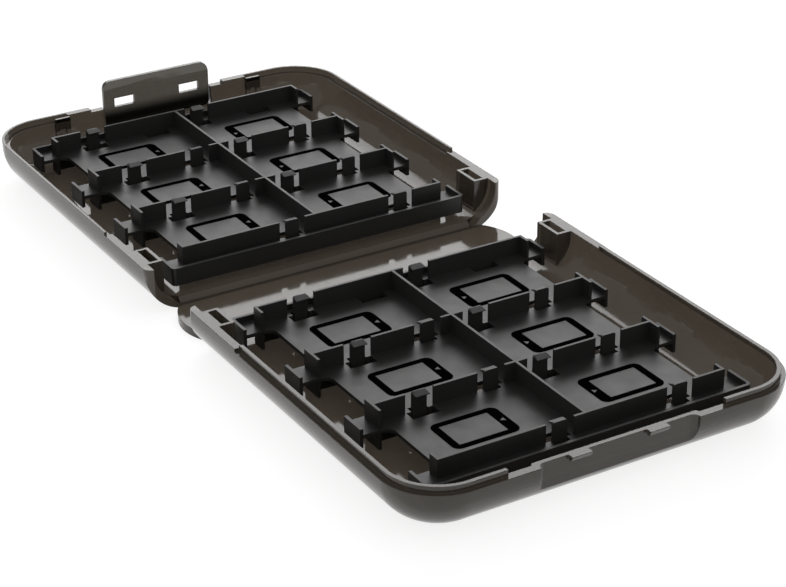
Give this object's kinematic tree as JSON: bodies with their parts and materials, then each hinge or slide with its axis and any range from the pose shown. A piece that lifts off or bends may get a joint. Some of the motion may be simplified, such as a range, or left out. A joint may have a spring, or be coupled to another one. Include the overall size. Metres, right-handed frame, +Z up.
{
  "type": "game card case",
  "caption": "Hinged plastic case that opens flat and holds small game cards in two clip trays, with a spine on living hinges and a latch flap.",
  "frame": {"origin": "middle of the spine's underside, with the case lying open", "axes": "+X along the hinge lines, +Y from the base to the lid, +Z up"},
  "size_m": [0.089, 0.1971, 0.017],
  "materials": {
    "shell": "glossy smoke-brown plastic, a little see-through",
    "tray": "satin black moulded plastic"
  },
  "bodies": {
    "base": {"base_shell": "shell", "base_hinge_web": "shell", "base_card_tray": "tray"},
    "spine": {"spine_panel": "shell"},
    "lid": {"lid_shell": "shell", "lid_hinge_web": "shell", "lid_card_tray": "tray", "flap_hinge_web": "shell"},
    "flap": {"latch_flap": "shell"},
    "base_clip_front_1": {"base_clip_front_1": "tray"},
    "base_clip_front_2": {"base_clip_front_2": "tray"},
    "base_clip_lower_1": {"base_clip_lower_1": "tray"},
    "base_clip_lower_2": {"base_clip_lower_2": "tray"},
    "base_clip_lower_3": {"base_clip_lower_3": "tray"},
    "base_clip_lower_4": {"base_clip_lower_4": "tray"},
    "base_clip_upper_1": {"base_clip_upper_1": "tray"},
    "base_clip_upper_2": {"base_clip_upper_2": "tray"},
    "base_clip_upper_3": {"base_clip_upper_3": "tray"},
    "base_clip_upper_4": {"base_clip_upper_4": "tray"},
    "base_clip_back_1": {"base_clip_back_1": "tray"},
    "base_clip_back_2": {"base_clip_back_2": "tray"},
    "lid_clip_front_1": {"lid_clip_front_1": "tray"},
    "lid_clip_front_2": {"lid_clip_front_2": "tray"},
    "lid_clip_lower_1": {"lid_clip_lower_1": "tray"},
    "lid_clip_lower_2": {"lid_clip_lower_2": "tray"},
    "lid_clip_lower_3": {"lid_clip_lower_3": "tray"},
    "lid_clip_lower_4": {"lid_clip_lower_4": "tray"},
    "lid_clip_upper_1": {"lid_clip_upper_1": "tray"},
    "lid_clip_upper_2": {"lid_clip_upper_2": "tray"},
    "lid_clip_upper_3": {"lid_clip_upper_3": "tray"},
    "lid_clip_upper_4": {"lid_clip_upper_4": "tray"},
    "lid_clip_back_1": {"lid_clip_back_1": "tray"},
    "lid_clip_back_2": {"lid_clip_back_2": "tray"}
  },
  "joints": [
    {"name": "base_hinge", "type": "hinge", "parent": "base", "child": "spine", "pos_m": [0, -0.0101, 0.0005], "axis": [1, 0, 0], "range_deg": [0, 90]},
    {"name": "lid_hinge", "type": "hinge", "parent": "spine", "child": "lid", "pos_m": [0, 0.0101, 0.0005], "axis": [1, 0, 0], "range_deg": [0, 90]},
    {"name": "flap_hinge", "type": "hinge", "parent": "lid", "child": "flap", "pos_m": [0, 0.0974, 0.00617], "axis": [-1, 0, 0], "range_deg": [0, 100], "stiffness_Nm_per_rad": 0.002},
    {"name": "snap_base_front_1", "type": "hinge", "parent": "base", "child": "base_clip_front_1", "pos_m": [-0.00575, -0.08645, 0.00315], "axis": [1, 0, 0], "range_deg": [0, 7], "stiffness_Nm_per_rad": 0.2},
    {"name": "snap_base_front_2", "type": "hinge", "parent": "base", "child": "base_clip_front_2", "pos_m": [0.022, -0.08645, 0.00315], "axis": [1, 0, 0], "range_deg": [0, 7], "stiffness_Nm_per_rad": 0.2},
    {"name": "snap_base_lower_1", "type": "hinge", "parent": "base", "child": "base_clip_lower_1", "pos_m": [-0.022, -0.06305, 0.00315], "axis": [-1, 0, 0], "range_deg": [0, 7], "stiffness_Nm_per_rad": 0.2},
    {"name": "snap_base_lower_2", "type": "hinge", "parent": "base", "child": "base_clip_lower_2", "pos_m": [-0.00575, -0.06305, 0.00315], "axis": [1, 0, 0], "range_deg": [0, 7], "stiffness_Nm_per_rad": 0.2},
    {"name": "snap_base_lower_3", "type": "hinge", "parent": "base", "child": "base_clip_lower_3", "pos_m": [0.00575, -0.06305, 0.00315], "axis": [-1, 0, 0], "range_deg": [0, 7], "stiffness_Nm_per_rad": 0.2},
    {"name": "snap_base_lower_4", "type": "hinge", "parent": "base", "child": "base_clip_lower_4", "pos_m": [0.022, -0.06305, 0.00315], "axis": [1, 0, 0], "range_deg": [0, 7], "stiffness_Nm_per_rad": 0.2},
    {"name": "snap_base_upper_1", "type": "hinge", "parent": "base", "child": "base_clip_upper_1", "pos_m": [-0.022, -0.03965, 0.00315], "axis": [-1, 0, 0], "range_deg": [0, 7], "stiffness_Nm_per_rad": 0.2},
    {"name": "snap_base_upper_2", "type": "hinge", "parent": "base", "child": "base_clip_upper_2", "pos_m": [-0.00575, -0.03965, 0.00315], "axis": [1, 0, 0], "range_deg": [0, 7], "stiffness_Nm_per_rad": 0.2},
    {"name": "snap_base_upper_3", "type": "hinge", "parent": "base", "child": "base_clip_upper_3", "pos_m": [0.00575, -0.03965, 0.00315], "axis": [-1, 0, 0], "range_deg": [0, 7], "stiffness_Nm_per_rad": 0.2},
    {"name": "snap_base_upper_4", "type": "hinge", "parent": "base", "child": "base_clip_upper_4", "pos_m": [0.022, -0.03965, 0.00315], "axis": [1, 0, 0], "range_deg": [0, 7], "stiffness_Nm_per_rad": 0.2},
    {"name": "snap_base_back_1", "type": "hinge", "parent": "base", "child": "base_clip_back_1", "pos_m": [-0.022, -0.01625, 0.00315], "axis": [-1, 0, 0], "range_deg": [0, 7], "stiffness_Nm_per_rad": 0.2},
    {"name": "snap_base_back_2", "type": "hinge", "parent": "base", "child": "base_clip_back_2", "pos_m": [0.00575, -0.01625, 0.00315], "axis": [-1, 0, 0], "range_deg": [0, 7], "stiffness_Nm_per_rad": 0.2},
    {"name": "snap_lid_front_1", "type": "hinge", "parent": "lid", "child": "lid_clip_front_1", "pos_m": [-0.00575, 0.01705, 0.00315], "axis": [1, 0, 0], "range_deg": [0, 7], "stiffness_Nm_per_rad": 0.2},
    {"name": "snap_lid_front_2", "type": "hinge", "parent": "lid", "child": "lid_clip_front_2", "pos_m": [0.022, 0.01705, 0.00315], "axis": [1, 0, 0], "range_deg": [0, 7], "stiffness_Nm_per_rad": 0.2},
    {"name": "snap_lid_lower_1", "type": "hinge", "parent": "lid", "child": "lid_clip_lower_1", "pos_m": [-0.022, 0.04045, 0.00315], "axis": [-1, 0, 0], "range_deg": [0, 7], "stiffness_Nm_per_rad": 0.2},
    {"name": "snap_lid_lower_2", "type": "hinge", "parent": "lid", "child": "lid_clip_lower_2", "pos_m": [-0.00575, 0.04045, 0.00315], "axis": [1, 0, 0], "range_deg": [0, 7], "stiffness_Nm_per_rad": 0.2},
    {"name": "snap_lid_lower_3", "type": "hinge", "parent": "lid", "child": "lid_clip_lower_3", "pos_m": [0.00575, 0.04045, 0.00315], "axis": [-1, 0, 0], "range_deg": [0, 7], "stiffness_Nm_per_rad": 0.2},
    {"name": "snap_lid_lower_4", "type": "hinge", "parent": "lid", "child": "lid_clip_lower_4", "pos_m": [0.022, 0.04045, 0.00315], "axis": [1, 0, 0], "range_deg": [0, 7], "stiffness_Nm_per_rad": 0.2},
    {"name": "snap_lid_upper_1", "type": "hinge", "parent": "lid", "child": "lid_clip_upper_1", "pos_m": [-0.022, 0.06385, 0.00315], "axis": [-1, 0, 0], "range_deg": [0, 7], "stiffness_Nm_per_rad": 0.2},
    {"name": "snap_lid_upper_2", "type": "hinge", "parent": "lid", "child": "lid_clip_upper_2", "pos_m": [-0.00575, 0.06385, 0.00315], "axis": [1, 0, 0], "range_deg": [0, 7], "stiffness_Nm_per_rad": 0.2},
    {"name": "snap_lid_upper_3", "type": "hinge", "parent": "lid", "child": "lid_clip_upper_3", "pos_m": [0.00575, 0.06385, 0.00315], "axis": [-1, 0, 0], "range_deg": [0, 7], "stiffness_Nm_per_rad": 0.2},
    {"name": "snap_lid_upper_4", "type": "hinge", "parent": "lid", "child": "lid_clip_upper_4", "pos_m": [0.022, 0.06385, 0.00315], "axis": [1, 0, 0], "range_deg": [0, 7], "stiffness_Nm_per_rad": 0.2},
    {"name": "snap_lid_back_1", "type": "hinge", "parent": "lid", "child": "lid_clip_back_1", "pos_m": [-0.022, 0.08725, 0.00315], "axis": [-1, 0, 0], "range_deg": [0, 7], "stiffness_Nm_per_rad": 0.2},
    {"name": "snap_lid_back_2", "type": "hinge", "parent": "lid", "child": "lid_clip_back_2", "pos_m": [0.00575, 0.08725, 0.00315], "axis": [-1, 0, 0], "range_deg": [0, 7], "stiffness_Nm_per_rad": 0.2}
  ]
}
